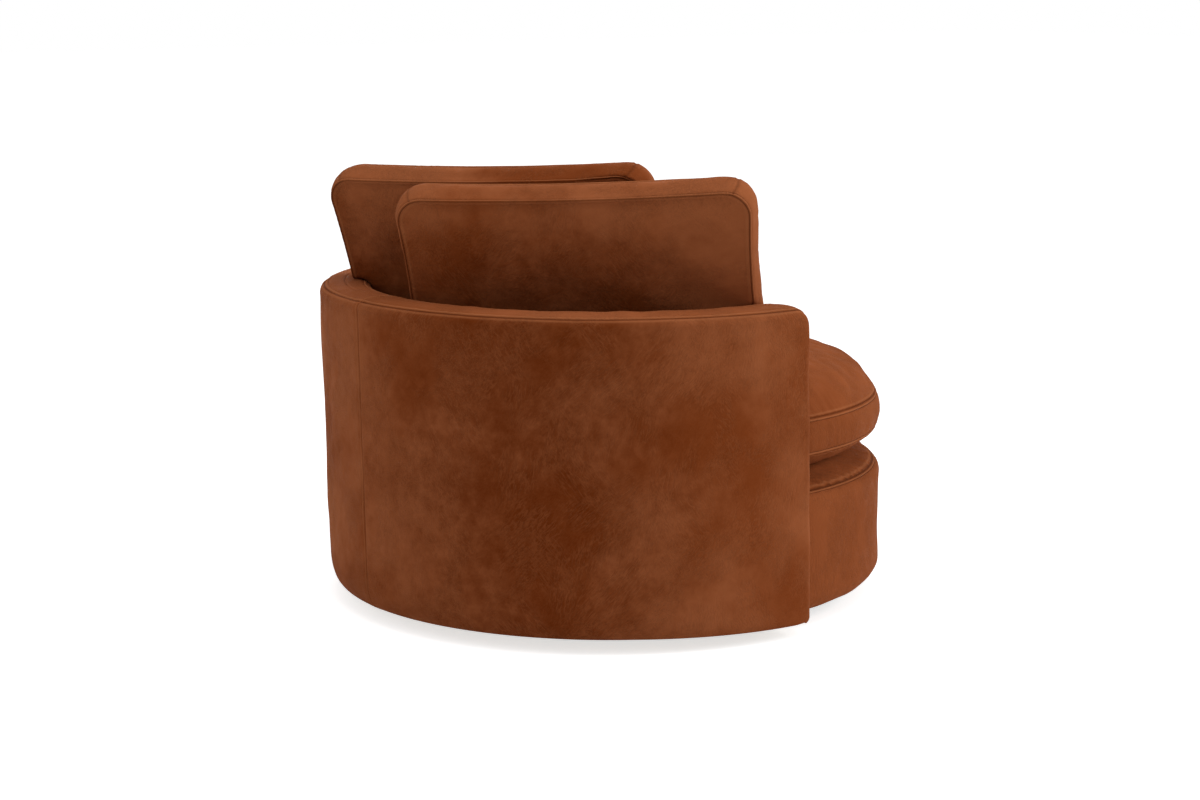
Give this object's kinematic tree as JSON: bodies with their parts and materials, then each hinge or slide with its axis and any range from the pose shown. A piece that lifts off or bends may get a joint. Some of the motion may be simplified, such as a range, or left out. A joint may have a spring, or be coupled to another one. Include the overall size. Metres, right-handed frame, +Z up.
{
  "type": "swivel cuddle chair",
  "caption": "Round wrap-back cuddle chair in leather on a hidden swivel base, with a loose round seat cushion and two loose back cushions.",
  "frame": {"origin": "on the floor under the swivel axis, at the middle of the footprint", "axes": "+Z up along the swivel axis, -Y the way the sitter faces, +X the sitter's left"},
  "size_m": [1.2162, 1.2256, 0.9583],
  "materials": {
    "leather": "matt brushed leather with a cloudy brown colour",
    "timber": "raw plywood and softwood",
    "foam": "open-cell upholstery foam",
    "wadding": "white fibre wadding",
    "steel": "zinc-plated",
    "plastic": "moulded",
    "dust_cloth": "black non-woven cloth"
  },
  "bodies": {
    "base": {"base_board": "timber", "base_bolt_1": "steel", "base_bolt_2": "steel", "base_bolt_3": "steel", "floor_glide_1": "plastic", "floor_glide_2": "plastic", "floor_glide_3": "plastic", "floor_glide_4": "plastic", "floor_glide_5": "plastic", "lower_swivel_plate": "steel", "swivel_pivot": "steel"},
    "ball_race": {"ball_cage": "plastic", "race_ball_1": "steel", "race_ball_2": "steel", "race_ball_3": "steel", "race_ball_4": "steel", "race_ball_5": "steel", "race_ball_6": "steel"},
    "tub": {"arm_front_post_left": "timber", "arm_front_post_right": "timber", "back_foam": "foam", "bottom_board": "timber", "deck_cover": "leather", "deck_foam": "foam", "drum_cover": "leather", "drum_front_board": "timber", "drum_post_1": "timber", "drum_post_2": "timber", "drum_post_3": "timber", "drum_post_4": "timber", "drum_wadding": "wadding", "dust_cover": "dust_cloth", "frame_bolt_1": "steel", "frame_bolt_2": "steel", "frame_bolt_3": "steel", "inner_bent_board": "timber", "inner_cover": "leather", "outer_bent_board": "timber", "outer_cover_left": "leather", "outer_cover_right": "leather", "outer_wadding": "wadding", "rim_band_left": "leather", "rim_band_right": "leather", "rim_pad": "foam", "seat_frame": "timber", "seat_spring_1": "steel", "seat_spring_2": "steel", "seat_spring_3": "steel", "seat_spring_4": "steel", "shell_post_1": "timber", "shell_post_2": "timber", "shell_post_3": "timber", "shell_post_4": "timber", "shell_post_5": "timber", "top_rail": "timber", "upper_swivel_plate": "steel"},
    "seat_pad": {"seat_cushion": "leather"},
    "right_pad": {"back_cushion_right": "leather"},
    "left_pad": {"back_cushion_left": "leather"}
  },
  "joints": [
    {"name": "swivel", "type": "hinge", "parent": "base", "child": "tub", "pos_m": [0, 0, 0.03], "axis": [0, 0, 1], "continuous": true},
    {"name": "race_turn", "type": "hinge", "parent": "base", "child": "ball_race", "pos_m": [0, 0, 0.0286], "axis": [0, 0, 1], "continuous": true},
    {"name": "seat_lift", "type": "slide", "parent": "tub", "child": "seat_pad", "axis": [0, 0, 1], "range_m": [0, 0.15]},
    {"name": "right_back_lift", "type": "slide", "parent": "seat_pad", "child": "right_pad", "axis": [0, 0, 1], "range_m": [0, 0.2]},
    {"name": "left_back_lift", "type": "slide", "parent": "right_pad", "child": "left_pad", "axis": [0, 0, 1], "range_m": [0, 0.2]}
  ],
  "couplings": [
    {"joint": "race_turn", "follows": "swivel", "ratio": 0.5}
  ]
}
